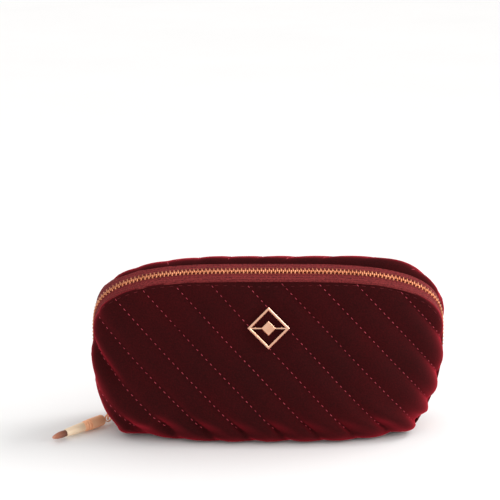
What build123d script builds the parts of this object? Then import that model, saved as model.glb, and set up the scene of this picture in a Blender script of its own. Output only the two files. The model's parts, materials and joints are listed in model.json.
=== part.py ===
from build123d import *
import math
import os

# Quilted velvet makeup bag with an arched metal zip and a brush-shaped zip pull. Millimetres.
#
# The bag stands on its flat base. +X is to the right, +Y to the back and +Z up, and the origin is
# the centre of the base. Its walls are three layers: velvet outside, foam, and a lining. The zip
# runs from low on the left side, over the top, to low on the right side. The front half above the
# zip's lower ends folds forward about a line through them, so the front wall is made in three
# zones: a lower one, a fold that crumples, and an upper one that swings.

# The bag's outer form.
HALF_WIDTH = 102.0
HEIGHT = 102.0
HALF_DEPTH = 33.0
WIDEST_Z = 52.0
LOWER_DROP = 54.0
UPPER_POWER = 3.6
LOWER_POWER = 4.0
PLAN_RADIUS = 30.0
# Front and back walls as a side view: (y, z), from the front of the base to the back of it.
SIDE_VIEW = [
    (-29, 0), (-33, 7), (-14.2, 91.5), (-9.5, 98), (0, 101.2), (8, 102), (14, 98), (33, 7), (29, 0)
]
FRONT_LEAN = math.degrees(math.atan2(33 - 14.2, 91.5 - 7))

# Wall layers, as depths below the outer face.
VELVET = (0.0, 1.2)
FOAM = (1.2, 4.2)
LINING = (4.2, 4.8)
BASE_SEAM_Z = 6.0

# The zip's centre line: an arc up each side, then a rounded arch over the top.
SIDE_ARC_RADIUS = 89.0
SIDE_ARC_X = 12.0
ARCH_HALF_WIDTH = SIDE_ARC_RADIUS + SIDE_ARC_X
ARCH_RISE = 45.3
ZIP_END_Z = 5.0
ZIP_SIDE_Y = 2.0
ZIP_TOP_Y = -7.5
ZIP_TOP_TILT = math.radians(30)

# Zip chain and tape, across the zip: W is the distance from its centre line.
TOOTH_PITCH = 2.25
TOOTH_HALF_HEIGHT = 1.1
TOOTH_SHAPE = [(-0.36, 0.95), (0.36, 0.95), (0.48, 0.45), (0.48, -2.9), (-0.48, -2.9), (-0.48, 0.45)]
TAPE_W = (3.15, 6.2)
TAPE_HALF_THICKNESS = 0.35
TAPE_END = 0.5
TAPE_OVERLAP = 2.0
# The stops: distance from the zip's end, then length, width and thickness.
TOP_STOP = (1.6, 1.8, 1.5, 2.6)
TOP_STOP_W = 1.95
BOTTOM_STOP = (4.4, 2.6, 5.4, 2.8)
BINDING_W = (5.0, 6.2)
BINDING_N = (-1.3, -0.5)
SLOT_HALF_W = 6.3
SLOT_N = (-8.0, 9.0)

# The fold that lets the mouth open.
FOLD_Z = 24.0
FOLD_ANGLE = 30.0
FOLD_ROOM = 1.5
FOLD_TOP_GAP = 0.3
GAP = 0.15
# How far above and below the fold's axis the front chain is parted.
CHAIN_PART = (3.4, 0.8)

# Slider, link and brush charm.
SLIDER_S = 7.9
SLIDER_LENGTH = 10.0
# Half of the slider's plate: distance along from its middle, and half width.
SLIDER_PLATE = [(-5.0, 3.2), (-3.4, 4.7), (0.0, 4.7), (5.0, 3.9)]
PLATE_N = (1.35, 2.35)
LIP_N = 0.75
BAIL_HALF_LENGTH = 2.2
BAIL_HALF_WIDTH = 0.9
BAIL_TOP = 5.35
BAIL_WALL = 0.9
LINK_PIVOT_N = 3.4
LINK_WIRE = 1.0
LINK_REACH = 6.2
LINK_WINDOW = 4.4
LINK_DROP = math.radians(90)
CHARM_YAW = math.radians(43)
CHARM_DROP = math.radians(1.5)
EYE_HOLE = 1.9
EYE_RADIUS = 2.7
EYE_THICKNESS = 1.0
# Stations of the charm: distance from the eye and radius.
HANDLE = [(4.2, 2.5), (5.2, 3.1), (8.0, 3.25), (14.0, 3.3)]
COLLAR = (14.0, 18.3, 3.2)
FERRULE = [(18.3, 2.8), (24.0, 2.7), (31.0, 2.2)]
BRISTLES = [(31.0, 1.9), (35.0, 1.95), (38.5, 1.35), (40.3, 0.4)]

# Ornament on the front.
BADGE_Z = 67.5
BADGE_HALF = 12.0
BADGE_BAR = 1.35
BADGE_HEART = 4.2
BADGE_EDGE = 0.3
BADGE_OUT = (0.4, 1.9)
PRONG_RADIUS = 0.6
BACKPLATE = (22.0, 4.0, 0.6)

# The back velvet is parted here into a middle and two ends.
BACK_PART_X = 66.0

REACH = 140.0


def outline_xz(half_width, rise, drop, angle):
    """A point on the front view's outline. Its upper and lower halves have different powers."""
    power = UPPER_POWER if math.sin(angle) >= 0 else LOWER_POWER
    c, s = math.cos(angle), math.sin(angle)
    x = half_width * math.copysign(abs(c) ** (2 / power), c)
    return x, WIDEST_Z + (rise if s >= 0 else drop) * math.copysign(abs(s) ** (2 / power), s)


def outline_prism(inset):
    """The front view's outline, taken in by inset, cut flat at the base and drawn out along Y."""
    floor = inset
    drop = LOWER_DROP - inset
    flat = math.asin(((WIDEST_Z - floor) / drop) ** (LOWER_POWER / 2))
    steps = 36
    angles = [-flat + (math.pi + 2 * flat) * i / steps for i in range(steps + 1)]
    points = [outline_xz(HALF_WIDTH - inset, HEIGHT - WIDEST_Z - inset, drop, a) for a in angles]
    edge = Spline(*points) + Line(points[-1], points[0])
    return extrude(Plane.XZ * make_face(edge), amount=REACH, both=True)


def bag_solid(inset):
    """The bag's form taken in by inset: its front, side and plan views drawn out and intersected."""
    side = make_face(Polyline(*SIDE_VIEW, close=True))
    if inset:
        side = offset(side, amount=-inset, kind=Kind.INTERSECTION)
    plan = RectangleRounded(2 * (HALF_WIDTH - inset), 2 * (HALF_DEPTH - inset), PLAN_RADIUS - inset)
    return (
        outline_prism(inset)
        & extrude(Plane.YZ * side, amount=REACH, both=True)
        & extrude(plan, amount=REACH)
    )


def zip_line():
    """Dense points (x, z) along the zip's centre line, from its left end to its right end."""
    low = math.asin((WIDEST_Z - ZIP_END_Z) / SIDE_ARC_RADIUS)
    steps = 400
    left = []
    for i in range(steps):
        a = low * (1 - i / steps)
        x = -SIDE_ARC_X - SIDE_ARC_RADIUS * math.cos(a)
        left.append((x, WIDEST_Z - SIDE_ARC_RADIUS * math.sin(a)))
    arch = []
    for i in range(2 * steps + 1):
        a = math.pi * (1 - i / (2 * steps))
        arch.append(outline_xz(ARCH_HALF_WIDTH, ARCH_RISE, LOWER_DROP, a))
    return left + arch + [(-x, z) for x, z in reversed(left)]


ZIP = zip_line()
ZIP_S = [0.0]
for (xa, za), (xb, zb) in zip(ZIP, ZIP[1:]):
    ZIP_S.append(ZIP_S[-1] + math.hypot(xb - xa, zb - za))
ZIP_LENGTH = ZIP_S[-1]


def zip_xz(s):
    """The point (x, z) at distance s along the zip."""
    s = min(max(s, 0.0), ZIP_LENGTH)
    low, high = 0, len(ZIP_S) - 1
    while high - low > 1:
        middle = (low + high) // 2
        if ZIP_S[middle] <= s:
            low = middle
        else:
            high = middle
    share = (s - ZIP_S[low]) / max(ZIP_S[high] - ZIP_S[low], 1e-9)
    return tuple(a + (b - a) * share for a, b in zip(ZIP[low], ZIP[high]))


def zip_frame(s):
    """The zip's local plane at s: x along it, y across it to the back, z out of the bag."""
    step = 0.6
    (xa, za), (xb, zb) = zip_xz(s - step), zip_xz(s + step)
    along = math.hypot(xb - xa, zb - za)
    tx, tz = (xb - xa) / along, (zb - za) / along
    up = max(0.0, tx)
    tilt = ZIP_TOP_TILT * up
    x, z = zip_xz(s)
    y = ZIP_SIDE_Y + (ZIP_TOP_Y - ZIP_SIDE_Y) * up
    normal = Vector(-tz * math.cos(tilt), -math.sin(tilt), tx * math.cos(tilt))
    return Plane(origin=(x, y, z), x_dir=(tx, 0, tz), z_dir=normal)


def zip_s_at(z):
    """How far along the zip, from its left end, the left side reaches height z."""
    return next(s for s, (x, height) in zip(ZIP_S, ZIP) if height >= z)


def ribbon(s0, s1, w0, w1, n0, n1):
    """A band along the zip from s0 to s1, between w0 and w1 across it and n0 and n1 out of it."""
    count = max(2, round((s1 - s0) / 7))
    sections = []
    for i in range(count + 1):
        place = zip_frame(s0 + (s1 - s0) * i / count)
        corners = [(w0, n0), (w1, n0), (w1, n1), (w0, n1)]
        points = [place.from_local_coords(Vector(0, w, n)) for w, n in corners]
        sections.append(make_face(Polyline(*points, close=True)))
    return loft(sections, ruled=True)


def side_zone(points):
    """A zone of the bag given by its side view (y, z), as wide as the bag."""
    return extrude(Plane.YZ * make_face(Polyline(*points, close=True)), amount=REACH, both=True)


def front_of(z):
    """The y of the plane inside the zip that parts the front from the back at height z."""
    share = (z - 40) / (97.3 - 40)
    return ZIP_SIDE_Y + (ZIP_TOP_Y - ZIP_SIDE_Y) * max(0.0, share)


FOLD_AXIS = (ZIP_SIDE_Y, FOLD_Z)


def fold_ray(degrees):
    """The far end, in the side view, of a line from the fold's axis rising towards the front."""
    a = math.radians(degrees)
    return FOLD_AXIS[0] - REACH * math.cos(a), FOLD_AXIS[1] + REACH * math.sin(a)


FOLD_TOP = fold_ray(FOLD_ANGLE + FOLD_ROOM)
FOLD_BOTTOM = (-REACH, FOLD_Z - GAP)
PARTING = [(ZIP_SIDE_Y, 40), (front_of(130), 130)]
ZONES = {
    "base": side_zone([(-REACH, -5), (REACH, -5), (REACH, BASE_SEAM_Z), (-REACH, BASE_SEAM_Z)]),
    "lower": side_zone(
        [(-REACH, BASE_SEAM_Z), (ZIP_SIDE_Y, BASE_SEAM_Z), (ZIP_SIDE_Y, FOLD_Z - GAP), FOLD_BOTTOM]
    ),
    "fold": side_zone(
        [(ZIP_SIDE_Y, FOLD_Z - GAP), fold_ray(FOLD_ANGLE + FOLD_ROOM - FOLD_TOP_GAP), FOLD_BOTTOM]
    ),
    "upper": side_zone([FOLD_AXIS, *PARTING, (-REACH, 130), FOLD_TOP]),
    "back": side_zone([(ZIP_SIDE_Y, BASE_SEAM_Z), *PARTING, (REACH, 130), (REACH, BASE_SEAM_Z)]),
}


def layer(depths):
    """One layer of the wall, all round, with the zip's slot cut through it."""
    outer, inner = depths
    return bag_solid(outer) - bag_solid(inner) - SLOT


def front_plane(z, out):
    """A plane on the front wall at height z, out millimetres off it: x to the right, z out of it."""
    along = (z - SIDE_VIEW[1][1]) / (SIDE_VIEW[2][1] - SIDE_VIEW[1][1])
    y = SIDE_VIEW[1][0] + (SIDE_VIEW[2][0] - SIDE_VIEW[1][0]) * along
    lean = math.radians(FRONT_LEAN)
    normal = Vector(0, -math.cos(lean), math.sin(lean))
    return Plane(origin=Vector(0, y, z) + normal * out, x_dir=(1, 0, 0), z_dir=normal)


def badge():
    """An open lozenge with a small solid lozenge in it, held by two prongs."""

    def lozenge(half):
        return make_face(Polyline((half, 0), (0, half), (-half, 0), (0, -half), close=True))

    thick = BADGE_OUT[1] - BADGE_OUT[0]
    frame = lozenge(BADGE_HALF) - lozenge(BADGE_HALF - BADGE_BAR * math.sqrt(2))
    shape = extrude(frame + lozenge(BADGE_HEART), amount=thick)
    shape = chamfer(shape.faces().filter_by(Axis.Z).group_by(Axis.Z)[-1].edges(), BADGE_EDGE)
    spoke = Rectangle(2 * BADGE_HALF - BADGE_BAR * 2, BADGE_BAR * 0.5)
    shape += extrude(spoke, amount=thick - BADGE_EDGE)
    prongs = Sketch() + [Pos(x, 0) * Circle(PRONG_RADIUS) for x in PRONG_X]
    length = BADGE_OUT[0] + FOAM[1]
    return front_plane(BADGE_Z, BADGE_OUT[0]) * (shape + extrude(prongs, amount=-length))


def backplate():
    """The flat plate under the lining that the badge's prongs are bent over."""
    length, width, thick = BACKPLATE
    plate = extrude(RectangleRounded(length, width, 1.4), amount=thick)
    holes = Sketch() + [Pos(x, 0) * Circle(PRONG_RADIUS) for x in PRONG_X]
    return front_plane(BADGE_Z, -FOAM[1]) * (plate - extrude(holes, amount=thick))


PRONG_X = (-BADGE_HALF * 0.62, BADGE_HALF * 0.62)


def teeth(side, chosen):
    """The teeth of one side, 1 for the front and -1 for the back, at the places that chosen allows."""
    shape = make_face(Polyline(*[(x, y * side) for x, y in TOOTH_SHAPE], close=True))
    tooth = extrude(shape, amount=TOOTH_HALF_HEIGHT, both=True)
    count = int((TEETH_END - TEETH_START) / TOOTH_PITCH)
    first = TEETH_START + (0.0 if side > 0 else TOOTH_PITCH / 2)
    places = [zip_frame(first + i * TOOTH_PITCH) for i in range(count)]
    return Compound(children=[place.location * tooth for place in places if chosen(place.origin)])


def slider():
    """The slider: two plates joined by a post at its nose, with side lips, and a bail on top."""
    place = zip_frame(SLIDER_S)
    half = SLIDER_LENGTH / 2
    other_half = [(x, -w) for x, w in reversed(SLIDER_PLATE)]
    outline = make_face(Polyline(*SLIDER_PLATE, *other_half, close=True))
    thick = PLATE_N[1] - PLATE_N[0]
    lips = Sketch() + [Pos(0.6, w) * Rectangle(SLIDER_LENGTH - 3.4, 0.5) for w in (-4.2, 4.2)]
    post = Pos(-half + 1.7, 0, -PLATE_N[0]) * extrude(SlotOverall(2.2, 1.1), amount=2 * PLATE_N[0])
    body = Pos(0, 0, PLATE_N[0]) * extrude(outline, amount=thick)
    body += Pos(0, 0, -PLATE_N[1]) * extrude(outline, amount=thick)
    body += Pos(0, 0, LIP_N) * extrude(lips, amount=PLATE_N[0] - LIP_N)
    body += Pos(0, 0, -PLATE_N[0]) * extrude(lips, amount=PLATE_N[0] - LIP_N)
    bail_height = BAIL_TOP - PLATE_N[1]
    arch = Pos(0, PLATE_N[1] + bail_height / 2) * RectangleRounded(2 * BAIL_HALF_LENGTH, bail_height, 0.85)
    hole_height = bail_height - BAIL_WALL
    hole = Pos(0, PLATE_N[1] + hole_height / 2) * Rectangle(2 * (BAIL_HALF_LENGTH - BAIL_WALL), hole_height)
    bail = extrude(Plane.XZ * (arch - hole), amount=BAIL_HALF_WIDTH, both=True)
    return place.location * (body + post), place.location * bail


def charm_frames():
    """The link's and charm's local planes: x along each from its pivot, z out of its flat face."""
    pivot = zip_frame(SLIDER_S).from_local_coords(Vector(0, 0, LINK_PIVOT_N))
    link_way = Vector(-math.cos(LINK_DROP), 0, -math.sin(LINK_DROP))
    link = Plane(origin=pivot, x_dir=link_way, z_dir=link_way.cross(Vector(0, -1, 0)))
    flat = math.cos(CHARM_DROP)
    way = Vector(-flat * math.cos(CHARM_YAW), -flat * math.sin(CHARM_YAW), -math.sin(CHARM_DROP))
    up = Vector(0, 0, 1)
    normal = (up - way * up.dot(way)).normalized()
    return link, Plane(origin=pivot + link_way * LINK_REACH, x_dir=way, z_dir=normal)


LINK_PLANE, CHARM_PLANE = charm_frames()


def pull_link():
    """The flat wire link between the slider's bail and the charm's eye."""
    length, width = LINK_REACH + LINK_WIRE, LINK_WINDOW + 2 * LINK_WIRE
    window = RectangleRounded(length - 2 * LINK_WIRE, LINK_WINDOW, 0.5)
    ring = RectangleRounded(length, width, 1.5) - window
    solid = extrude(Pos(LINK_REACH / 2, 0) * ring, amount=LINK_WIRE / 2, both=True)
    return LINK_PLANE.location * solid


def turned(stations):
    """A solid turned about x through the given (x, radius) stations."""
    curve = Spline(*stations) if len(stations) > 2 else Line(*stations)
    ends = [(stations[-1][0], 0), (stations[0][0], 0)]
    face = make_face(curve + Polyline(stations[-1], *ends, stations[0]))
    return revolve(face, axis=Axis.X)


def charm():
    """The brush charm's pieces: handle with its eye, ridged collar, ferrule and bristles."""
    eye = extrude(Plane.XZ * (Circle(EYE_RADIUS) - Circle(EYE_HOLE)), amount=EYE_THICKNESS / 2, both=True)
    start = EYE_RADIUS - 0.4
    neck_length = HANDLE[0][0] + 0.6 - start
    neck = Pos(start + neck_length / 2, 0, 0) * Box(neck_length, EYE_THICKNESS, 2.0)
    handle = turned(HANDLE) + eye + neck
    x0, x1, radius = COLLAR
    core = turned([(x0, radius - 0.3), (x1, radius - 0.5)])
    ridge = (x1 - x0) / 3.6
    for i in range(3):
        at = x0 + ridge * (0.1 + 1.2 * i)
        core += turned([(at, radius - 0.12 * i), (at + ridge, radius - 0.12 * i)])
    solids = {
        "pull_handle": handle,
        "pull_collar": core,
        "pull_ferrule": turned(FERRULE),
        "pull_bristles": turned(BRISTLES),
    }
    return {name: CHARM_PLANE.location * solid for name, solid in solids.items()}


FOLD_S = zip_s_at(FOLD_Z)
TEETH_START = SLIDER_S - 1.2
TEETH_END = ZIP_LENGTH - 7.0
SLOT = ribbon(0.0, ZIP_LENGTH, -SLOT_HALF_W, SLOT_HALF_W, *SLOT_N)


def wall_nodes():
    """The three wall layers of each zone."""
    nodes = {}
    plug = badge()
    plate = backplate()
    for name, depths in {"velvet": VELVET, "foam": FOAM, "lining": LINING}.items():
        whole = layer(depths)
        for zone in ("lower", "fold", "upper"):
            nodes[f"front_{name}_{zone}"] = whole & ZONES[zone]
        nodes[f"back_{name}"] = whole & ZONES["back"]
    parting = [-REACH, -BACK_PART_X, BACK_PART_X, REACH]
    for part, x0, x1 in zip(("left", "middle", "right"), parting, parting[1:]):
        slab = Pos((x0 + x1) / 2, 0, 0) * Box(x1 - x0, 2 * REACH, 2 * REACH)
        nodes[f"back_velvet_{part}"] = nodes["back_velvet"] & slab
    del nodes["back_velvet"]
    nodes["front_velvet_upper"] -= plug
    nodes["front_foam_upper"] -= plug
    nodes["front_foam_upper"] -= plate
    nodes["badge"] = plug
    nodes["badge_backplate"] = plate
    nodes["base_velvet"] = layer(VELVET) & ZONES["base"]
    nodes["base_foam"] = layer(FOAM) & ZONES["base"]
    nodes["base_lining"] = layer(LINING) & ZONES["base"]
    return nodes


def zip_nodes():
    """Tapes, bindings, teeth and stops. The front tape's lower ends stay with the bag."""
    t = TAPE_HALF_THICKNESS
    w0, w1 = TAPE_W
    s0, s1 = TAPE_END, ZIP_LENGTH - TAPE_END
    fold0, fold1 = FOLD_S - TAPE_OVERLAP, ZIP_LENGTH - FOLD_S + TAPE_OVERLAP
    nodes = {"zip_tape_back": ribbon(s0, s1, w0, w1, -t, t)}
    nodes["zip_tape_front"] = ribbon(fold0, fold1, -w1, -w0, -t, t) & ZONES["upper"]
    low = 2 * TAPE_OVERLAP
    ends = [ribbon(s0, fold0 + low, -w1, -w0, -t, t), ribbon(fold1 - low, s1, -w1, -w0, -t, t)]
    nodes["zip_tape_front_ends"] = Compound(children=[(end & ZONES["lower"]).solid() for end in ends])
    w0, w1 = BINDING_W
    nodes["seam_binding_back"] = ribbon(s0, s1, w0, w1, *BINDING_N)
    nodes["seam_binding_front"] = ribbon(fold0, fold1, -w1, -w0, *BINDING_N) & ZONES["upper"]
    above, below = CHAIN_PART
    nodes["zip_teeth_back"] = teeth(-1, lambda o: True)
    nodes["zip_teeth_front"] = teeth(1, lambda o: o.Z > FOLD_Z + above)
    nodes["zip_teeth_front_ends"] = teeth(1, lambda o: o.Z < FOLD_Z - below)
    at, *size = TOP_STOP
    left = zip_frame(at).location
    stops = [left * Pos(0, w, 0) * Box(*size) for w in (-TOP_STOP_W, TOP_STOP_W)]
    nodes["zip_top_stops"] = Compound(children=stops)
    at, *size = BOTTOM_STOP
    nodes["zip_bottom_stop"] = zip_frame(ZIP_LENGTH - at).location * Box(*size)
    return nodes


def main():
    nodes = wall_nodes() | zip_nodes() | charm()
    nodes["slider_body"], nodes["slider_bail"] = slider()
    nodes["pull_link"] = pull_link()
    os.makedirs("parts", exist_ok=True)
    for name, shape in nodes.items():
        solids = shape if isinstance(shape, Compound) else Compound(children=shape.solids())
        export_step(solids, f"parts/{name}.step")


main()
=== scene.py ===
import json
import math
import bmesh
import bpy
import numpy as np
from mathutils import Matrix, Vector


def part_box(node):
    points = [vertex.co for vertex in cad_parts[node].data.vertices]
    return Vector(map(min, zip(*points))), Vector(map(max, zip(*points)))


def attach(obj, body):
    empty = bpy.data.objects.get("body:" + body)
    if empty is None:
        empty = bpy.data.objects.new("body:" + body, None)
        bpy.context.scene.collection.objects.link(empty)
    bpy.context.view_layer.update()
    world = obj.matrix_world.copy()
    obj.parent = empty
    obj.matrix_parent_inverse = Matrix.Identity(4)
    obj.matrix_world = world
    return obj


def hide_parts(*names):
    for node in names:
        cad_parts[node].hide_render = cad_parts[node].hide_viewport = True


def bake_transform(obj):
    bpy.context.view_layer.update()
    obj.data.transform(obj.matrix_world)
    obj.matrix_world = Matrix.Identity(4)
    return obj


# The look of a quilted velvet makeup bag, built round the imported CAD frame. Lengths are in millimetres up
# to make_mesh, which turns them into metres. The camera, the lights, the fold's blend and the flat sizes
# of the linings are in metres.

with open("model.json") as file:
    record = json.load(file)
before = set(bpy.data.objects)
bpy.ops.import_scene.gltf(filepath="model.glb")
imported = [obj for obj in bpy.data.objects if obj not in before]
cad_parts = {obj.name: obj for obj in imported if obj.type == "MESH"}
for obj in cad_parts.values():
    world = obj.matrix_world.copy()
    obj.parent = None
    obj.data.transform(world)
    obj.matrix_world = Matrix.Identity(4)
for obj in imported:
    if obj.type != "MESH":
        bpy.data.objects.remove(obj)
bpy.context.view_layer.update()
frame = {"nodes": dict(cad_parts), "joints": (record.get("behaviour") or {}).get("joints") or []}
NODES = frame["nodes"]
MM = 0.001


def joint_place(name):
    """Where a joint sits at rest, in millimetres to three places."""
    joint = next(joint for joint in frame["joints"] if joint["name"] == name)
    return np.round(np.array(joint["pos_m"]) / MM, 3)


# ---------------------------------------------------------------- camera
VIEW_ELEVATION = math.radians(20.0)
VIEW_DISTANCE = 0.800
VIEW_LENS = 100.0
BAG_MIDDLE = Vector((0.0, -0.012, 0.049))
AIM = Vector((-0.0105, -0.012, 0.1113))


def add_camera():
    data = bpy.data.cameras.new("camera")
    data.lens = VIEW_LENS
    data.sensor_width = 36.0
    data.clip_start = 0.01
    camera = bpy.data.objects.new("camera", data)
    bpy.context.scene.collection.objects.link(camera)
    away = Vector((0, -math.cos(VIEW_ELEVATION), math.sin(VIEW_ELEVATION)))
    camera.location = BAG_MIDDLE + away * VIEW_DISTANCE + Vector((AIM.x, 0, 0))
    camera.rotation_euler = (AIM - camera.location).to_track_quat("-Z", "Y").to_euler()
    bpy.context.scene.camera = camera


add_camera()

# ---------------------------------------------------------------- the zip's line, as in the CAD
# The slider turns about the centre of the left arc.
ARC_CENTRE = joint_place("slider_travel")
ARC_RADIUS, ARC_X, WIDEST_Z = 89.0, -ARC_CENTRE[0], ARC_CENTRE[2]
ARCH_RISE, ARCH_POWER = 45.3, 3.6
ZIP_END_Z = 5.0
ZIP_SIDE_Y, ZIP_TOP_Y, ZIP_TILT = ARC_CENTRE[1], -7.5, math.radians(30)
DIRECTION_STEP = 0.6
# How far from the middle of the zip each half of the shell is sewn, by side: -1 front, 1 back.
SEAM_W = {-1: 6.3, 1: 5.7}


def zip_line():
    """The (x, z) points of the zip: up the left arc, over the arch and down the right arc."""
    low = math.asin((WIDEST_Z - ZIP_END_Z) / ARC_RADIUS)
    a = np.linspace(low, 0, 300, endpoint=False)
    left = np.c_[-ARC_X - ARC_RADIUS * np.cos(a), WIDEST_Z - ARC_RADIUS * np.sin(a)]
    a = np.linspace(math.pi, 0, 601)
    c, s = np.cos(a), np.abs(np.sin(a))
    x = (ARC_RADIUS + ARC_X) * np.sign(c) * np.abs(c) ** (2 / ARCH_POWER)
    arch = np.c_[x, WIDEST_Z + ARCH_RISE * s ** (2 / ARCH_POWER)]
    return np.vstack([left, arch, left[::-1] * [-1, 1]])


ZIP = zip_line()
ZIP_S = np.r_[0, np.cumsum(np.hypot(*np.diff(ZIP, axis=0).T))]
ZIP_LENGTH = ZIP_S[-1]


def zip_xz(s):
    s = np.clip(s, 0, ZIP_LENGTH)
    return np.c_[np.interp(s, ZIP_S, ZIP[:, 0]), np.interp(s, ZIP_S, ZIP[:, 1])]


def zip_frame(s):
    """Origins, and the directions along, across (to the back) and out of the zip, at distances s."""
    s = np.asarray(s, float)
    d = zip_xz(s + DIRECTION_STEP) - zip_xz(s - DIRECTION_STEP)
    d /= np.linalg.norm(d, axis=1)[:, None]
    up = np.maximum(0, d[:, 0])
    tilt = ZIP_TILT * up
    p = zip_xz(s)
    origin = np.c_[p[:, 0], ZIP_SIDE_Y + (ZIP_TOP_Y - ZIP_SIDE_Y) * up, p[:, 1]]
    along = np.c_[d[:, 0], np.zeros(len(s)), d[:, 1]]
    out = np.c_[-d[:, 1] * np.cos(tilt), -np.sin(tilt), d[:, 0] * np.cos(tilt)]
    return origin, along, np.cross(out, along), out


def zip_points(s, w, n):
    """Points at distances s along the zip, w across it and n out of it."""
    origin, _, across, out = zip_frame(s)
    return origin + across * np.reshape(w, (-1, 1)) + out * np.reshape(n, (-1, 1))


# ---------------------------------------------------------------- meshes
def smooth(x):
    x = np.clip(x, 0, 1)
    return x * x * (3 - 2 * x)


def rise(x, start, over):
    """0 up to start, 1 from start + over on, and a smooth step between."""
    return smooth((x - start) / over)


def bell(x, middle, width):
    return np.exp(-(((x - middle) / width) ** 2))


def make_mesh(name, verts, faces, material):
    mesh = bpy.data.meshes.new(name)
    mesh.from_pydata((np.asarray(verts) * MM).tolist(), [], [list(map(int, f)) for f in faces])
    mesh.validate()
    mesh.update()
    mesh.polygons.foreach_set("use_smooth", [True] * len(mesh.polygons))
    obj = bpy.data.objects.new(name, mesh)
    bpy.context.scene.collection.objects.link(obj)
    obj.data.materials.append(material)
    return obj


def grid_faces(rows, columns, wrap_rows=False, start=0):
    """Quads over a grid of vertices, row by row."""
    i = np.arange(rows if wrap_rows else rows - 1)
    j = np.arange(columns - 1)
    i, j = [a.ravel() for a in np.meshgrid(i, j, indexing="ij")]
    k = (i + 1) % rows
    return np.c_[i * columns + j, k * columns + j, k * columns + j + 1, i * columns + j + 1] + start


def tube_faces(rings, sides, closed=False):
    """Quads between rings of vertices in a row. closed joins the last ring to the first."""
    faces = []
    for r in range(rings if closed else rings - 1):
        after = (r + 1) % rings
        for k in range(sides):
            n = (k + 1) % sides
            faces.append([r * sides + k, r * sides + n, after * sides + n, after * sides + k])
    return faces


def rod_faces(count, rings, sides):
    """The faces of count equal rods, one after another, each of that many rings and closed at its ends."""
    per = rings * sides
    caps = [list(range(sides))[::-1], list(range(per - sides, per))]
    pattern = tube_faces(rings, sides) + caps
    return [[v + i * per for v in face] for i in range(count) for face in pattern]


def fix_normals(obj):
    bm = bmesh.new()
    bm.from_mesh(obj.data)
    bmesh.ops.recalc_face_normals(bm, faces=bm.faces)
    bm.to_mesh(obj.data)
    bm.free()


# ---------------------------------------------------------------- the shell's form
CENTRE = np.array([0.0, 62.0])
ROWS, RINGS = 520, 76
SIDES = {"front": -1, "back": 1}
FRONT_WALL = (-33.0, 7.0, 0.2225)
BACK_WALL = (33.0, 7.0, -0.2088)
# The base's outline: flat as far as BASE_FLAT_X, then a curve up to the zip's end.
BASE_FLAT_X, CORNER_REACH_X = 48.0, 72.0
CORNER_LEAN_X, CORNER_LEAN_Z = 2.2, 3.4
EDGE_POINTS, CORNER_POINTS, FLAT_POINTS = 700, 60, 120
GUSSET_RUN = 14.0
# How square a wall turns over to its seam: everywhere, how much more towards the base, and how much less
# at the front's right-hand end.
WALL_POWER, BASE_MORE, RIGHT_LESS = 3.8, 3.4, 1.5
TURN_POINTS = 90


def wall_y(side, z):
    """Where the middle of the leaning front or back wall is at height z."""
    y0, z0, slope = FRONT_WALL if side < 0 else BACK_WALL
    return y0 + (z - z0) * slope


def bezier(points, count):
    t = np.linspace(0, 1, count)[:, None]
    a, b, c, d = [np.array(p, float) for p in points]
    return a * (1 - t) ** 3 + 3 * b * t * (1 - t) ** 2 + 3 * c * t**2 * (1 - t) + d * t**3


def seam_loop(side):
    """The closed line where half of the shell ends: along the zip, then along the base's seam."""
    s = np.linspace(0, ZIP_LENGTH, EDGE_POINTS)
    edge = zip_points(s, side * SEAM_W[side], 0.0)
    x, z = edge[-1, 0], edge[-1, 2]
    lean = (x - CORNER_LEAN_X, z - CORNER_LEAN_Z)
    corner = bezier([(x, z), lean, (CORNER_REACH_X, 0), (BASE_FLAT_X, 0)], CORNER_POINTS)[1:]
    flat = np.c_[np.linspace(BASE_FLAT_X, -BASE_FLAT_X, FLAT_POINTS), np.zeros(FLAT_POINTS)][1:-1]
    base = np.vstack([corner, flat, corner[::-1] * [-1, 1]])
    run = np.r_[0, np.cumsum(np.hypot(*np.diff(base, axis=0).T))]
    ease = smooth(np.minimum(run, run[-1] - run) / GUSSET_RUN)
    y = edge[-1, 1] + (ZIP_SIDE_Y - edge[-1, 1]) * ease
    return np.vstack([edge, np.c_[base[:, 0], y, base[:, 1]]])


def shell_grid(side):
    """Rows of points from the wall's centre out to the seam, each row's direction and its length."""
    loop = seam_loop(side)
    closed = np.vstack([loop, loop[:1]])
    run = np.r_[0, np.cumsum(np.linalg.norm(np.diff(closed, axis=0), axis=1))]
    at = np.linspace(0, run[-1], ROWS, endpoint=False)
    edge = np.c_[[np.interp(at, run, closed[:, k]) for k in range(3)]].T
    reach = edge[:, [0, 2]] - CENTRE
    radius = np.hypot(*reach.T)
    way = reach / radius[:, None]
    power = WALL_POWER + BASE_MORE * rise(-way[:, 1], 0.6, 0.35)
    if side < 0:
        power = power - RIGHT_LESS * rise(way[:, 0], 0.62, 0.25) * rise(way[:, 1], -0.78, 0.3)
    grid = np.zeros((ROWS, RINGS, 3))
    cloth = np.zeros(ROWS)
    for i in range(ROWS):
        m = power[i]
        turn = 0.5 ** (1 / m)
        rho = np.linspace(0, turn, TURN_POINTS)
        lift = 1 - (1 - rho**m) ** (1 / m)
        steep_lift = np.linspace(lift[-1], 1, TURN_POINTS)[1:]
        steep_rho = (1 - (1 - steep_lift) ** m) ** (1 / m)
        rho, lift = np.r_[rho, steep_rho], np.r_[lift, steep_lift]
        x = CENTRE[0] + rho * reach[i, 0]
        z = CENTRE[1] + rho * reach[i, 1]
        wall = wall_y(side, z)
        p = np.c_[x, wall + (edge[i, 1] - wall) * lift, z]
        length = np.r_[0, np.cumsum(np.linalg.norm(np.diff(p, axis=0), axis=1))]
        cloth[i] = length[-1]
        steps = np.linspace(0, length[-1], RINGS)
        grid[i] = np.c_[[np.interp(steps, length, p[:, k]) for k in range(3)]].T
    return grid, way, cloth


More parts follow.
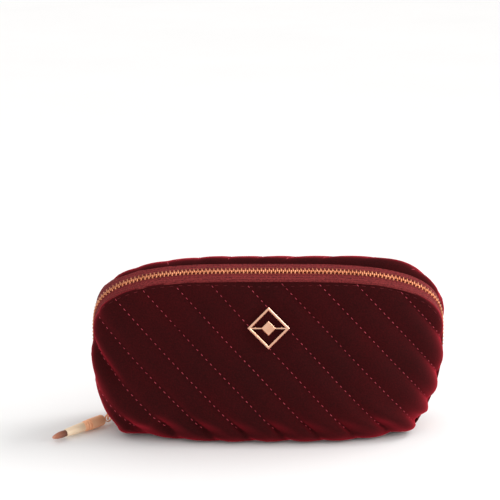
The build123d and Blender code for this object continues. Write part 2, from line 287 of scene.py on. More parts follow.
def grid_normals(grid, side):
    """Unit normals that point out of the bag. The rows share one at their common centre."""
    across = np.roll(grid, -1, axis=0) - np.roll(grid, 1, axis=0)
    outward = np.gradient(grid, axis=1)
    n = np.cross(across, outward)
    n[:, 0] = [0, 0, 0]
    n /= np.maximum(np.linalg.norm(n, axis=2, keepdims=True), 1e-9)
    middle = np.mean(n[:, 1], axis=0)
    if middle[1] * side < 0:
        n, middle = -n, -middle
    n[:, 0] = middle / np.linalg.norm(middle)
    return n


# ---------------------------------------------------------------- quilting
QUILT_ANGLE = math.radians(46.9)
QUILT_GAP = 15.19
QUILT_START = 8.2
STITCH_PITCH, STITCH_LENGTH, STITCH_RADIUS = 3.7, 1.55, 0.19
ACROSS_LINES = np.array([math.sin(QUILT_ANGLE), math.cos(QUILT_ANGLE)])
ALONG_LINES = np.array([math.cos(QUILT_ANGLE), -math.sin(QUILT_ANGLE)])
BADGE_SPOT = np.array([0.0, 67.5])
# The puffs in the middle of a wall: the power of the sine that rounds them, their depth, their crest.
PUFF_POWER, PUFF_DEPTH, PUFF_CREST = 0.72, 1.9, 0.65
EDGE_SHALLOWER = 0.8
# Where the wall turns under to the base they are deeper and rounder, and lean down.
TURN_Z, TURN_WIDTH = 9.0, 5.0
TURN_DEEPER, TURN_ROUNDER, TURN_LEAN = 2.3, 0.3, 1.1
# At the right-hand end they are deeper and stand further out.
RIGHT_U, RIGHT_RUN, RIGHT_DEEPER, RIGHT_FULLER = 70.0, 28.0, 1.5, 0.8
# The back is shallower and stands further out, most of all at the top and at the right.
BACK_SHARE, BACK_TOP_LESS = 0.85, 0.35
BACK_TOP_FULLER, BACK_TOP_RIGHT, BACK_RIGHT = 1.5, 1.4, 2.4
# The front has a deep crease at the left, along the third quilting line below the first.
LEFT_U, LEFT_RUN, LEFT_FULLER = -80.0, 12.0, 0.9
CREASE_Q, CREASE_WIDTH, CREASE_DEPTH = -3.0, 0.4, 2.4
# The badge presses the quilting flat round it.
PRESS_RADIUS, PRESS_RUN, PRESS_OUT = 19.0, 7.0, -0.75


def ripple(u, v, scale, seed):
    """Smooth, repeatable unevenness from a few crossed waves."""
    rng = np.random.default_rng(seed)
    total = np.zeros_like(u)
    for _ in range(7):
        a = rng.uniform(0, 2 * math.pi)
        k = 2 * math.pi / scale * rng.uniform(0.6, 1.5)
        total += np.sin(k * (u * math.cos(a) + v * math.sin(a)) + rng.uniform(0, 6.3))
    return total / 7


def quilt(u, v, z, near_edge, side):
    """How far the cloth at (u, v) stands out of the shell, where the shell is at height z."""
    q = (u * ACROSS_LINES[0] + v * ACROSS_LINES[1] - QUILT_START) / QUILT_GAP
    t = q - np.floor(q)
    turn_under = bell(z, TURN_Z, TURN_WIDTH) * rise(z, 1.5, 5.0)
    t = t ** (1 + TURN_LEAN * turn_under)
    puff = np.abs(np.sin(math.pi * t)) ** (PUFF_POWER - TURN_ROUNDER * turn_under)
    right = rise(u, RIGHT_U, RIGHT_RUN)
    depth = PUFF_DEPTH - EDGE_SHALLOWER * near_edge * (1 - right)
    depth = depth + RIGHT_DEEPER * right + TURN_DEEPER * turn_under
    depth = depth * (1 + 0.25 * ripple(u, v, 46.0, 3 + side)) * rise(z, -2.0, 5.0)
    crest = PUFF_CREST + 0.2 * ripple(u, v, 22.0, 9 + side)
    crest = crest + 0.7 * ripple(u, v, 95.0, 5 + side) + RIGHT_FULLER * right
    if side > 0:
        top = rise(z, 84.0, 14.0)
        depth = depth * (BACK_SHARE - BACK_TOP_LESS * top)
        crest = crest + top * (BACK_TOP_FULLER + BACK_TOP_RIGHT * rise(u, -90.0, 90.0))
        crest = crest + BACK_RIGHT * rise(z, 52.0, 30.0) * rise(u, 20.0, 70.0)
    else:
        at_left = rise(-u, -LEFT_U, LEFT_RUN)
        depth = depth + CREASE_DEPTH * at_left * bell(q, CREASE_Q, CREASE_WIDTH)
        crest = crest + LEFT_FULLER * at_left * rise(-q, -CREASE_Q, 0.5)
    out = crest - depth * (1 - puff)
    if side < 0:
        d = np.hypot(u - BADGE_SPOT[0], v - BADGE_SPOT[1])
        press = smooth((PRESS_RADIUS - d) / PRESS_RUN)
        out = out * (1 - press) + (PRESS_OUT + 0.35 * puff) * press
    return out


class Shell:
    """One half of the bag's quilted shell."""

    FLOOR, FLOOR_EASE = 0.25, 1.5
    SEAM_EASE, SEAM_SINK = 3.6, 0.25
    NEAR_EDGE_FROM, NEAR_EDGE_RUN = 0.62, 0.3
    LAYER_EASE, LAYER_PUFF = 6.0, 0.25

    def __init__(self, name):
        self.name, self.side = name, SIDES[name]
        self.base, self.way, self.cloth = shell_grid(self.side)
        self.normal = grid_normals(self.base, self.side)
        share = np.linspace(0, 1, RINGS)[None, :]
        run = self.cloth[:, None] * share
        u = CENTRE[0] + run * self.way[:, :1]
        v = CENTRE[1] + run * self.way[:, 1:]
        to_edge = self.cloth[:, None] - run
        near = np.clip((share - self.NEAR_EDGE_FROM) / self.NEAR_EDGE_RUN, 0, 1)
        out = quilt(u, v, self.base[:, :, 2], near, self.side)
        seam = np.clip(to_edge / self.SEAM_EASE, 0, 1)
        seam = seam * (2 - seam)
        out = out * seam - self.SEAM_SINK * (1 - seam)
        self.outer = self.base + self.normal * out[:, :, None]
        z = self.outer[:, :, 2]
        low = self.FLOOR + self.FLOOR_EASE * np.exp((z - self.FLOOR - self.FLOOR_EASE) / self.FLOOR_EASE)
        self.outer[:, :, 2] = np.where(z < self.FLOOR + self.FLOOR_EASE, low, z)
        self.angle = np.unwrap(np.arctan2(self.way[:, 1], self.way[:, 0]))
        self.surface_normal = grid_normals(self.outer, self.side)

    def layer(self, depth, edge_depth):
        """A flatter copy of the grid, sunk by depth below the shell and by edge_depth at the seam."""
        share = np.linspace(0, 1, RINGS)[None, :]
        left = self.cloth[:, None] * (1 - share)
        ease = np.clip(left / self.LAYER_EASE, 0, 1)
        sink = edge_depth + (depth - edge_depth) * ease
        middle = self.base * (1 - self.LAYER_PUFF) + self.outer * self.LAYER_PUFF
        return middle - self.normal * sink[:, :, None]

    def find(self, uv):
        """The outer face's points and normals at uv, and how far inside the seam each lies."""
        rel = np.asarray(uv, float) - CENTRE
        angle = np.arctan2(rel[:, 1], rel[:, 0])
        order = 1 if self.angle[-1] > self.angle[0] else -1
        start = self.angle[0]
        turn = np.mod((angle - start) * order, 2 * math.pi)
        rows = np.r_[(self.angle - start) * order, 2 * math.pi]
        row = np.interp(turn, rows, np.arange(ROWS + 1))
        i = np.floor(row).astype(int) % ROWS
        k = (i + 1) % ROWS
        f = (row - np.floor(row))[:, None]
        limit = self.cloth[i] * (1 - f[:, 0]) + self.cloth[k] * f[:, 0]
        run = np.hypot(*rel.T)
        column = np.clip(run / limit, 0, 0.9999) * (RINGS - 1)
        j = np.floor(column).astype(int)
        g = (column - j)[:, None]

        def at(grid):
            a = grid[i, j] * (1 - g) + grid[i, j + 1] * g
            b = grid[k, j] * (1 - g) + grid[k, j + 1] * g
            return a * (1 - f) + b * f

        n = at(self.surface_normal)
        n /= np.maximum(np.linalg.norm(n, axis=1, keepdims=True), 1e-9)
        return at(self.outer), n, limit - run


def closed_shell(name, outer, inner, material):
    """A closed piece between two matching grids that share one point at their centres."""
    def flat(grid):
        return np.vstack([grid[:, 0].mean(axis=0)[None, :], grid[:, 1:].reshape(-1, 3)])

    columns = RINGS - 1
    count = 1 + ROWS * columns
    verts = np.vstack([flat(outer), flat(inner)])
    quads = grid_faces(ROWS, columns, wrap_rows=True, start=1)
    i = np.arange(ROWS)
    k = (i + 1) % ROWS
    fans = np.c_[np.zeros(ROWS, int), 1 + i * columns, 1 + k * columns]
    last_i, last_k = 1 + i * columns + columns - 1, 1 + k * columns + columns - 1
    rim = np.c_[last_k, last_i, last_i + count, last_k + count]
    faces = [list(f[::-1]) for f in quads] + [list(f) for f in fans]
    faces += [list(f + count) for f in quads] + [list(f[::-1] + count) for f in fans]
    faces += [list(f) for f in rim]
    obj = make_mesh(name, verts, faces, material)
    fix_normals(obj)
    return obj


# The gusset's overlap: in points along the zip, and under each half as a share of the gap and in
# millimetres. Its two faces lie at these depths inside the seam.
GUSSET_LAP, GUSSET_SHARE, GUSSET_UNDER = 5, 0.12, 1.6
GUSSET_COLUMNS = 9
GUSSET_DEPTHS = (0.45, 1.7)


def gusset(name, material):
    """The strip of velvet that closes the shell between the zip's two ends, over the base's seam."""
    loops = [seam_loop(side) for side in (-1, 1)]
    front, back = [np.vstack([loop[EDGE_POINTS - GUSSET_LAP:], loop[:GUSSET_LAP]]) for loop in loops]
    share = np.linspace(-GUSSET_SHARE, 1 + GUSSET_SHARE, GUSSET_COLUMNS)
    grid = front[:, None] + (back - front)[:, None] * share[None, :, None]
    inward = np.c_[CENTRE[0] - front[:, 0], np.zeros(len(front)), CENTRE[1] - front[:, 2]]
    inward /= np.linalg.norm(inward, axis=1)[:, None]
    grid[:, :, 1] += np.linspace(-GUSSET_UNDER, GUSSET_UNDER, GUSSET_COLUMNS)
    outer, inner = [grid + inward[:, None] * depth for depth in GUSSET_DEPTHS]
    count = len(front) * len(share)
    quads = grid_faces(len(front), len(share))
    rim = [(i, 0) for i in range(len(front))] + [(len(front) - 1, j) for j in range(1, len(share))]
    rim += [(i, len(share) - 1) for i in range(len(front) - 2, -1, -1)]
    rim += [(0, j) for j in range(len(share) - 2, 0, -1)]
    rim = [i * len(share) + j for i, j in rim]
    faces = quads.tolist() + (quads[:, ::-1] + count).tolist()
    faces += [[a, b, b + count, a + count] for a, b in zip(rim, rim[1:] + rim[:1])]
    obj = make_mesh(name, np.vstack([outer.reshape(-1, 3), inner.reshape(-1, 3)]), faces, material)
    fix_normals(obj)
    return obj


def capsules(name, paths, normals, radius, material):
    """Short threads: each path is three points, thick in the middle and sunk at both ends."""
    sides = 6
    stations = np.array([0.0, 0.12, 0.5, 0.88, 1.0])
    widths = np.array([0.25, 0.85, 1.0, 0.85, 0.25]) * radius
    heights = np.array([-0.5, 0.05, 0.45, 0.05, -0.5]) * radius
    paths, normals = np.asarray(paths), np.asarray(normals)
    a, b, c = paths[:, 0], paths[:, 1], paths[:, 2]
    verts = []
    turn = np.linspace(0, 2 * math.pi, sides, endpoint=False)
    along = c - a
    along /= np.linalg.norm(along, axis=1, keepdims=True)
    up = normals - along * np.sum(normals * along, axis=1, keepdims=True)
    up /= np.linalg.norm(up, axis=1, keepdims=True)
    across = np.cross(along, up)
    for t, wide, high in zip(stations, widths, heights):
        p = a * (1 - t) ** 2 + 2 * (2 * b - 0.5 * (a + c)) * t * (1 - t) + c * t**2 + up * high
        for angle in turn:
            verts.append(p + across * (wide * math.cos(angle)) + up * (wide * math.sin(angle)))
    verts = np.stack(verts, axis=1)
    faces = rod_faces(len(verts), len(stations), sides)
    return make_mesh(name, verts.reshape(-1, 3), faces, material)


# How far inside the seam quilting stitches stop, by side. Between CREASE_LOW and CREASE_HIGH, in the
# creases just above the base, there are none.
STITCH_CLEAR = {-1: 3.0, 1: 1.4}
STITCH_FLOOR, CREASE_LOW, CREASE_HIGH = 0.6, 1.2, 9.0


def quilting_stitches(shell, material):
    reach = 230.0
    step = np.arange(-reach, reach, STITCH_PITCH)
    lines = []
    first = math.floor((-reach - QUILT_START) / QUILT_GAP)
    last = math.ceil((reach - QUILT_START) / QUILT_GAP)
    rng = np.random.default_rng(21 + shell.side)
    for k in range(first, last + 1):
        q = QUILT_START + k * QUILT_GAP
        centre = q * ACROSS_LINES + (step + rng.uniform(0, STITCH_PITCH))[:, None] * ALONG_LINES
        lines.append(centre)
    centre = np.vstack(lines)
    half = STITCH_LENGTH / 2 * (1 + rng.uniform(-0.1, 0.1, len(centre)))[:, None] * ALONG_LINES
    parts = [shell.find(centre + half * k) for k in (-1, 0, 1)]
    z = parts[0][0][:, 2]
    out_of_crease = (z > CREASE_HIGH) | (z < CREASE_LOW)
    keep = (parts[1][2] > STITCH_CLEAR[shell.side]) & out_of_crease & (z > STITCH_FLOOR)
    paths = np.stack([p[0][keep] for p in parts], axis=1)
    return capsules(f"{shell.name}_quilting", paths, parts[1][1][keep], STITCH_RADIUS, material)


TOP_STITCH_PITCH, TOP_STITCH_HALF, TOP_STITCH_RADIUS = 5.3, 1.25, 0.13
TOP_STITCH_INSET = 4.2
TOP_STITCH_END = 3.0


def top_stitches(shell, material):
    """The row of stitches beside the zip that holds its tape to the shell."""
    s = np.arange(TOP_STITCH_END, ZIP_LENGTH - TOP_STITCH_END, TOP_STITCH_PITCH)
    rows = []
    for shift in (-TOP_STITCH_HALF, 0, TOP_STITCH_HALF):
        near = zip_points(s + shift, shell.side * SEAM_W[shell.side], 0.0)
        rel = near[:, [0, 2]] - CENTRE
        way = rel / np.hypot(*rel.T)[:, None]
        limit = shell.find(near[:, [0, 2]])[2] + np.hypot(*rel.T)
        rows.append(shell.find(CENTRE + way * (limit - TOP_STITCH_INSET)[:, None]))
    paths = np.stack([r[0] for r in rows], axis=1)
    return capsules(f"{shell.name}_top_stitching", paths, rows[1][1], TOP_STITCH_RADIUS, material)


# ---------------------------------------------------------------- zip pieces
TOOTH_PITCH = 2.25
TEETH_START = 6.7
TEETH_END = ZIP_LENGTH - 7.0
# Each tooth's sections: distance across from the middle of the zip, half length along it, half height.
TOOTH_STATIONS = [
    (-0.85, 0.30, 0.70), (-0.65, 0.50, 0.95), (-0.1, 0.62, 1.10), (0.35, 0.60, 1.08),
    (0.7, 0.50, 1.12), (1.9, 0.50, 1.15), (2.2, 0.36, 0.85),
]
TOOTH_SIDES, TOOTH_ROUNDING = 8, 0.6
STRIP_STEP = 1.1


def strip(name, side, s0, s1, section, material):
    """A strip along the zip with the closed cross-section [(w, n), ...], where w is to its own side."""
    s = np.linspace(s0, s1, int((s1 - s0) / STRIP_STEP))
    section = np.array(section)
    rows = np.stack([zip_points(s, side * w, n) for w, n in section], axis=1)
    count = len(section)
    faces = tube_faces(len(s), count)
    faces.append(list(range(count)))
    faces.append([(len(s) - 1) * count + j for j in range(count)])
    obj = make_mesh(name, rows.reshape(-1, 3), faces, material)
    fix_normals(obj)
    return obj


def teeth(name, side, material):
    """Each tooth is a rounded bar that grips the tape, with a cupped head in the middle of the chain."""
    first = TEETH_START + (0.0 if side < 0 else TOOTH_PITCH / 2)
    count = int((TEETH_END - TEETH_START) / TOOTH_PITCH)
    s = first + np.arange(count) * TOOTH_PITCH
    origin, along, across, out = zip_frame(s)
    across = across * side
    ring = np.linspace(0, 2 * math.pi, TOOTH_SIDES, endpoint=False) + math.pi / TOOTH_SIDES
    verts = []
    for w, half_t, half_n in TOOTH_STATIONS:
        for a in ring:
            t = half_t * np.sign(math.cos(a)) * abs(math.cos(a)) ** TOOTH_ROUNDING
            n = half_n * np.sign(math.sin(a)) * abs(math.sin(a)) ** TOOTH_ROUNDING
            verts.append(origin + across * w + along * t + out * n)
    verts = np.stack(verts, axis=1)
    faces = rod_faces(len(verts), len(TOOTH_STATIONS), TOOTH_SIDES)
    obj = make_mesh(name, verts.reshape(-1, 3), faces, material)
    fix_normals(obj)
    return obj


# ---------------------------------------------------------------- materials
def srgb(*levels):
    """The linear colour of three sRGB levels from 0 to 255."""
    shares = [level / 255 for level in levels]
    return tuple(c / 12.92 if c <= 0.04045 else ((c + 0.055) / 1.055) ** 2.4 for c in shares) + (1.0,)


class Nodes:
    """A small helper to build one material's node tree."""

    def __init__(self, name):
        self.material = bpy.data.materials.new(name)
        self.material.use_nodes = True
        self.tree = self.material.node_tree
        self.shader = self.tree.nodes["Principled BSDF"]

    def add(self, kind, **inputs):
        node = self.tree.nodes.new(kind)
        for key, value in inputs.items():
            if hasattr(node, key):
                setattr(node, key, value)
            else:
                self.set(node, key.replace("_", " "), value)
        return node

    def set(self, node, socket, value):
        if isinstance(value, bpy.types.NodeSocket):
            self.tree.links.new(value, node.inputs[socket])
        else:
            node.inputs[socket].default_value = value

    def shade(self, **inputs):
        for key, value in inputs.items():
            self.set(self.shader, key.replace("_", " "), value)

    def coords(self):
        return self.add("ShaderNodeTexCoord").outputs["Object"]

    def noise(self, scale, detail=4.0, roughness=0.55):
        node = self.add("ShaderNodeTexNoise", Scale=scale, Detail=detail, Roughness=roughness)
        self.tree.links.new(self.coords(), node.inputs["Vector"])
        return node.outputs["Fac"]

    def ramp(self, fac, stops):
        node = self.add("ShaderNodeValToRGB")
        self.tree.links.new(fac, node.inputs["Fac"])
        elements = node.color_ramp.elements
        while len(elements) < len(stops):
            elements.new(0.5)
        for element, (place, colour) in zip(elements, stops):
            element.position = place
            element.color = colour
        return node.outputs["Color"]

    def mix(self, fac, a, b):
        node = self.add("ShaderNodeMix", data_type="RGBA")
        for socket, value in zip((0, 6, 7), (fac, a, b)):
            self.set(node, socket, value)
        return node.outputs[2]

    def maths(self, operation, a, b=0.0):
        node = self.add("ShaderNodeMath", operation=operation)
        for i, value in enumerate((a, b)):
            self.set(node, i, value)
        return node.outputs[0]

    def bump(self, height, strength, distance, normal=None):
        node = self.add("ShaderNodeBump", Strength=strength, Distance=distance, Height=height)
        if normal:
            self.tree.links.new(normal, node.inputs["Normal"])
        return node.outputs["Normal"]


def velvet():
    m = Nodes("burgundy_velvet")
    crush = m.noise(30.0, 3.0)
    pile = m.noise(1100.0, 3.0, roughness=0.7)
    tone = m.maths("ADD", m.maths("MULTIPLY", crush, 0.35), m.maths("MULTIPLY", pile, 0.65))
    colour = m.ramp(tone, [(0.35, srgb(42, 5, 6)), (0.50, srgb(52, 6, 8)), (0.66, srgb(63, 8, 11))])
    # Painted sheen: towards grazing angles the velvet's base colour is mixed to a bright crimson, a rim of
    # light painted into its colour.
    grazing = m.add("ShaderNodeLayerWeight", Blend=0.5).outputs["Facing"]
    rim = m.maths("MULTIPLY", m.maths("POWER", grazing, 2.0), 0.9)
    colour = m.mix(rim, colour, srgb(186, 28, 48))
    rough = m.maths("ADD", m.maths("MULTIPLY", crush, 0.15), 0.82)
    m.shade(Base_Color=colour, Roughness=rough, Specular_IOR_Level=0.1)
    m.shade(Sheen_Weight=0.8, Sheen_Roughness=0.2, Sheen_Tint=srgb(232, 62, 80))
    m.shade(Normal=m.bump(pile, 0.45, 0.0003, m.bump(crush, 0.2, 0.002)))
    return m.material


def thread(name, dark, light):
    m = Nodes(name)
    twist = m.add("ShaderNodeTexWave", Scale=900.0, Distortion=1.0)
    m.tree.links.new(m.coords(), twist.inputs["Vector"])
    colour = m.ramp(m.noise(120.0), [(0.3, dark), (0.7, light)])
    m.shade(Base_Color=colour, Roughness=0.7, Specular_IOR_Level=0.2)
    m.shade(Normal=m.bump(twist.outputs["Fac"], 0.4, 0.0001))
    return m.material


def woven(name, dark, light, scale, sheen):
    m = Nodes(name)
    place = m.coords()
    waves = []
    for direction in ("X", "Y", "Z"):
        wave = m.add("ShaderNodeTexWave", Scale=scale, Distortion=0.6, bands_direction=direction)
        m.tree.links.new(place, wave.inputs["Vector"])
        waves.append(wave.outputs["Fac"])
    weave = m.maths("MULTIPLY", m.maths("MULTIPLY", waves[0], waves[1]), waves[2])
    weave = m.maths("MULTIPLY", weave, 0.45)
    weave = m.maths("ADD", weave, m.maths("MULTIPLY", m.noise(1300.0, 2.0), 0.7))
    m.shade(Base_Color=m.ramp(weave, [(0.25, dark), (0.62, light)]), Roughness=0.85)
    m.shade(Specular_IOR_Level=0.2)
    m.shade(Sheen_Weight=sheen, Sheen_Roughness=0.5, Normal=m.bump(weave, 0.5, 0.0002))
    return m.material


def metal(name, dark, light, rough, brushed=0.0, metallic=1.0):
    m = Nodes(name)
    wear = m.noise(160.0, 5.0)
    fine = m.noise(1400.0, 2.0)
    m.shade(Base_Color=m.ramp(wear, [(0.3, dark), (0.7, light)]), Metallic=metallic)
    m.shade(Roughness=m.maths("ADD", m.maths("MULTIPLY", wear, 0.14), rough))
    m.shade(Normal=m.bump(fine, 0.12 + brushed, 0.00004))
    return m.material


def bristle():
    m = Nodes("bristle_brown")
    lowest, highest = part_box("pull_bristles")
    split = m.add("ShaderNodeSeparateXYZ")
    m.tree.links.new(m.coords(), split.inputs[0])
    along = m.maths("DIVIDE", m.maths("SUBTRACT", split.outputs[0], lowest.x), highest.x - lowest.x)
    pale, light = srgb(214, 152, 128), srgb(178, 110, 84)
    dark, darkest = srgb(128, 74, 50), srgb(96, 52, 36)
    colour = m.ramp(along, [(0.0, pale), (0.3, light), (0.75, dark), (1.0, darkest)])
    hair = m.add("ShaderNodeTexNoise", Scale=1500.0, Detail=3.0)
    stretch = m.add("ShaderNodeMapping")
    stretch.inputs["Rotation"].default_value = (0, 0, math.radians(-43))
    stretch.inputs["Scale"].default_value = (0.06, 1.0, 1.0)
    m.tree.links.new(m.coords(), stretch.inputs["Vector"])
    m.tree.links.new(stretch.outputs[0], hair.inputs["Vector"])
    m.shade(Base_Color=colour, Roughness=0.5, Normal=m.bump(hair.outputs["Fac"], 0.6, 0.0003))
    return m.material


MATERIALS = {
    "velvet": velvet(),
    "thread": thread("rose_thread", srgb(160, 50, 64), srgb(206, 84, 98)),
    "sunk_thread": thread("sunk_thread", srgb(70, 16, 20), srgb(116, 32, 38)),
    "tape": woven("zip_tape_weave", srgb(78, 18, 22), srgb(150, 52, 52), 420.0, 0.0),
    "binding": woven("binding_weave", srgb(44, 12, 16), srgb(84, 26, 32), 360.0, 0.0),
    "lining": woven("lining_weave", srgb(52, 14, 20), srgb(92, 30, 38), 520.0, 0.0),
    "teeth": metal("rose_gold_teeth", srgb(186, 112, 78), srgb(222, 150, 112), 0.26),
    "slider": metal("rose_gold_slider", srgb(226, 160, 128), srgb(244, 186, 156), 0.16),
    "badge": metal("rose_gold_badge", srgb(240, 182, 150), srgb(250, 200, 172), 0.16),
    "charm": metal("rose_gold_charm", srgb(255, 190, 146), srgb(255, 204, 162), 0.5, metallic=0.25),
    "ferrule": metal("pale_gold_ferrule", srgb(255, 222, 184), srgb(255, 234, 204), 0.45, 0.05, 0.3),
    "bristle": bristle(),
}


def cad_material(node, key):
    obj = NODES[node]
    for place in obj.material_slots:
        place.material = MATERIALS[key]


def on_front(piece, slot_name, *nodes):
    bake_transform(piece)
    if nodes:
        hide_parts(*nodes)


def on_bag(piece, slot_name, *nodes):
    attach(piece, "bag")
    if nodes:
        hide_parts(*nodes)


TAPE_SECTION = [
    (0.95, -0.2), (1.3, -0.42), (1.9, -0.55), (2.4, -0.62), (2.9, -0.42), (5.0, -0.4), (7.6, -0.5),
    (7.6, -0.05), (5.0, 0.08), (2.9, 0.12), (2.4, 0.5), (1.9, 0.45), (1.3, 0.32), (0.95, 0.1),
]
BINDING_SECTION = [(4.6, -1.5), (6.8, -1.6), (6.8, -0.75), (4.6, -0.7)]
# Depths below the shell and at the seam: the back of the padding, and the two faces of the lining.
PADDING_BACK, LINING_OUTER, LINING_INNER = (3.5, 1.2), (4.1, 1.7), (4.5, 2.1)
TAPE_INSET, BINDING_INSET = 0.6, 0.8


def wall_nodes(walls, layer):
    return [node for node in NODES if node.startswith(tuple(w + layer for w in walls))]


def build_half(name):
    shell = Shell(name)
    side = shell.side
    put = on_front if name == "front" else on_bag
    walls = ["front_"] if name == "front" else ["back_", "base_"]
    padding_back = shell.layer(*PADDING_BACK)
    panel = closed_shell(f"{name}_quilted_panel", shell.outer, padding_back, MATERIALS["velvet"])
    put(panel, "velvet", *wall_nodes(walls, "velvet"), *wall_nodes(walls, "foam"))
    faces = [shell.layer(*depths) for depths in (LINING_OUTER, LINING_INNER)]
    lining = closed_shell(f"{name}_lining_cloth", *faces, MATERIALS["lining"])
    put(lining, "lining", *wall_nodes(walls, "lining"))
    put(quilting_stitches(shell, MATERIALS["thread"]), "velvet")
    put(top_stitches(shell, MATERIALS["sunk_thread"]), "velvet")
    tape_end, binding_end = ZIP_LENGTH - TAPE_INSET, ZIP_LENGTH - BINDING_INSET
    tape = strip(f"{name}_zip_tape", side, TAPE_INSET, tape_end, TAPE_SECTION, MATERIALS["tape"])
    ends = ["zip_tape_front_ends"] if name == "front" else []
    put(tape, "zip_tape", f"zip_tape_{name}", *ends)
    section, material = BINDING_SECTION, MATERIALS["binding"]
    binding = strip(f"{name}_seam_tape", side, BINDING_INSET, binding_end, section, material)
    put(binding, "binding", f"seam_binding_{name}")
    chain = teeth(f"{name}_teeth", side, MATERIALS["teeth"])
    ends = ["zip_teeth_front_ends"] if name == "front" else []
    put(chain, "zip_metal", f"zip_teeth_{name}", *ends)


for half in ("front", "back"):
    build_half(half)
on_bag(gusset("base_gusset", MATERIALS["velvet"]), "velvet")

# ---------------------------------------------------------------- the brush-shaped charm
CHARM_PIVOT = joint_place("charm_swing")
CHARM_YAW, CHARM_DROP = math.radians(43.0), math.radians(1.5)
EYE_RADIUS, EYE_WIRE = 2.3, (0.4, 0.5)
# Profiles of the turned pieces: distance from the pivot, and radius.
HANDLE = [
    (2.3, 0.0), (2.3, 0.8), (3.9, 0.95), (3.95, 2.2), (4.3, 2.95), (5.1, 3.3), (13.9, 3.3), (13.95, 0.0),
]
COLLAR = [
    (14.0, 0.0), (14.0, 2.9), (14.2, 3.1), (15.0, 3.15), (15.3, 2.75), (15.6, 2.75), (15.9, 3.1),
    (16.7, 3.1), (17.0, 2.7), (17.2, 2.7), (17.5, 3.0), (18.1, 2.95), (18.25, 2.6), (18.25, 0.0),
]
FERRULE = [(18.3, 0.0), (18.3, 2.7), (18.6, 2.8), (24.0, 2.65), (30.6, 2.25), (31.0, 2.1), (31.0, 0.0)]
BRISTLES = [
    (31.0, 0.0), (31.0, 1.85), (33.0, 2.0), (35.0, 1.95), (37.0, 1.65), (38.6, 1.25), (39.7, 0.8),
    (40.25, 0.3), (40.3, 0.0),
]


def charm_axes():
    """Directions along the charm, level across it and up from it."""
    flat = math.cos(CHARM_DROP)
    way = np.array([-flat * math.cos(CHARM_YAW), -flat * math.sin(CHARM_YAW), -math.sin(CHARM_DROP)])
    side = np.cross(way, [0, 0, 1.0])
    side /= np.linalg.norm(side)
    return way, side, np.cross(side, way)


def on_charm(obj, key, *nodes):
    fix_normals(obj)
    obj.data.set_sharp_from_angle(angle=math.radians(40))
    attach(obj, "charm")
    if nodes:
        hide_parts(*nodes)


def turned(name, stations, key, node):
    """A piece turned about the charm's line through (distance from the pivot, radius) stations."""
    way, side, up = charm_axes()
    count = 40
    angles = np.linspace(0, 2 * math.pi, count, endpoint=False)
    ring = np.cos(angles)[:, None] * side + np.sin(angles)[:, None] * up
    verts = [CHARM_PIVOT + way * x + ring * max(r, 0.01) for x, r in stations]
    faces = grid_faces(count, len(stations), wrap_rows=True)
    on_charm(make_mesh(name, np.stack(verts, axis=1).reshape(-1, 3), faces, MATERIALS[key]), key, node)


def eye():
    """The ring that the link passes through."""
    way, side, up = charm_axes()
    around, section = 32, 10
    verts = []
    for a in np.linspace(0, 2 * math.pi, around, endpoint=False):
        outward = way * math.cos(a) + up * math.sin(a)
        for b in np.linspace(0, 2 * math.pi, section, endpoint=False):
            bulge = outward * (EYE_RADIUS + EYE_WIRE[0] * math.cos(b))
            verts.append(CHARM_PIVOT + (bulge + side * (EYE_WIRE[1] * math.sin(b))))
    faces = tube_faces(around, section, closed=True)
    on_charm(make_mesh("brush_eye", verts, faces, MATERIALS["charm"]), "charm")


eye()
turned("brush_handle", HANDLE, "charm", "pull_handle")
turned("brush_collar", COLLAR, "charm", "pull_collar")
turned("brush_ferrule", FERRULE, "ferrule", "pull_ferrule")
turned("brush_bristles", BRISTLES, "bristle", "pull_bristles")

# Pieces that keep their CAD form, by material.
CAD_PIECES = {
    "slider": ("slider_body", "slider_bail", "pull_link"),
    "badge": ("badge", "badge_backplate"),
    "teeth": ("zip_top_stops", "zip_bottom_stop"),
}
for key, nodes in CAD_PIECES.items():
    for node in nodes:
        cad_material(node, key)


# ---------------------------------------------------------------- floor and light
FLOOR_FRONT, FLOOR_BACK, FLOOR_HALF = -6000, 5000, 7000
SWEEP_RADIUS, WALL_TOP = 900, 2200


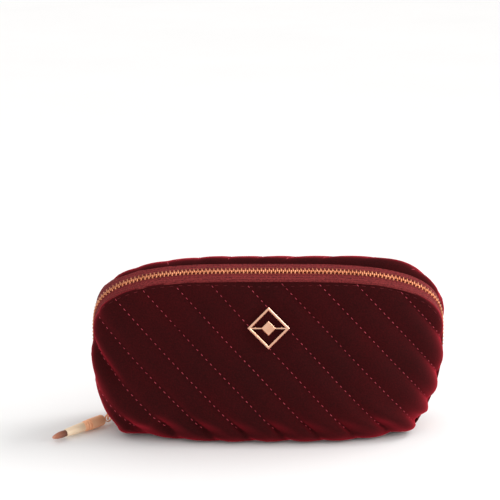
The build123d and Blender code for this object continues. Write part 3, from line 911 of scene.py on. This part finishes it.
def backdrop():
    """A pale floor that sweeps up behind the bag."""
    turn = np.linspace(0, math.pi / 2, 14)[1:]
    profile = [(FLOOR_FRONT, 0), (FLOOR_BACK, 0)]
    profile += [(FLOOR_BACK + SWEEP_RADIUS * math.sin(a), SWEEP_RADIUS * (1 - math.cos(a))) for a in turn]
    profile += [(FLOOR_BACK + SWEEP_RADIUS, WALL_TOP)]
    verts = [(x, y, z) for y, z in profile for x in (-FLOOR_HALF, FLOOR_HALF)]
    faces = [[2 * i, 2 * i + 1, 2 * i + 3, 2 * i + 2] for i in range(len(profile) - 1)]
    m = Nodes("pale_floor")
    patches = [(0.3, (0.90, 0.892, 0.885, 1)), (0.7, (0.92, 0.912, 0.905, 1))]
    m.shade(Base_Color=m.ramp(m.noise(3.0), patches), Roughness=0.9)
    m.shade(Specular_IOR_Level=0.1)
    make_mesh("floor", verts, faces, m.material)


def area_light(name, location, target, size, power, colour=(1, 1, 1)):
    data = bpy.data.lights.new(name, "AREA")
    data.shape = "DISK"
    data.size = size
    data.energy = power
    data.color = colour
    light = bpy.data.objects.new(name, data)
    light.location = location
    light.rotation_euler = (Vector(target) - Vector(location)).to_track_quat("-Z", "Y").to_euler()
    bpy.context.scene.collection.objects.link(light)


WORLD_STRENGTH = 0.83
SUN_FROM, SUN_STRENGTH, SUN_SPREAD = Vector((0.68, 0.26, 0.70)), 1.25, math.radians(28)


def lighting():
    world = bpy.data.worlds.new("studio")
    bpy.context.scene.world = world
    world.use_nodes = True
    world.node_tree.nodes["Background"].inputs["Color"].default_value = (1, 1, 1, 1)
    world.node_tree.nodes["Background"].inputs["Strength"].default_value = WORLD_STRENGTH
    sun = bpy.data.lights.new("sun", "SUN")
    sun.energy = SUN_STRENGTH
    sun.angle = SUN_SPREAD
    light = bpy.data.objects.new("sun", sun)
    light.rotation_euler = SUN_FROM.to_track_quat("Z", "Y").to_euler()
    bpy.context.scene.collection.objects.link(light)
    area_light("side", (0.75, -0.12, 0.30), (0.08, 0, 0.05), 0.45, 2.8)
    area_light("fill", (-0.45, -0.75, 0.50), (-0.1, 0, 0.02), 0.5, 0.5)
    bpy.context.scene.view_settings.view_transform = "Standard"


backdrop()
lighting()
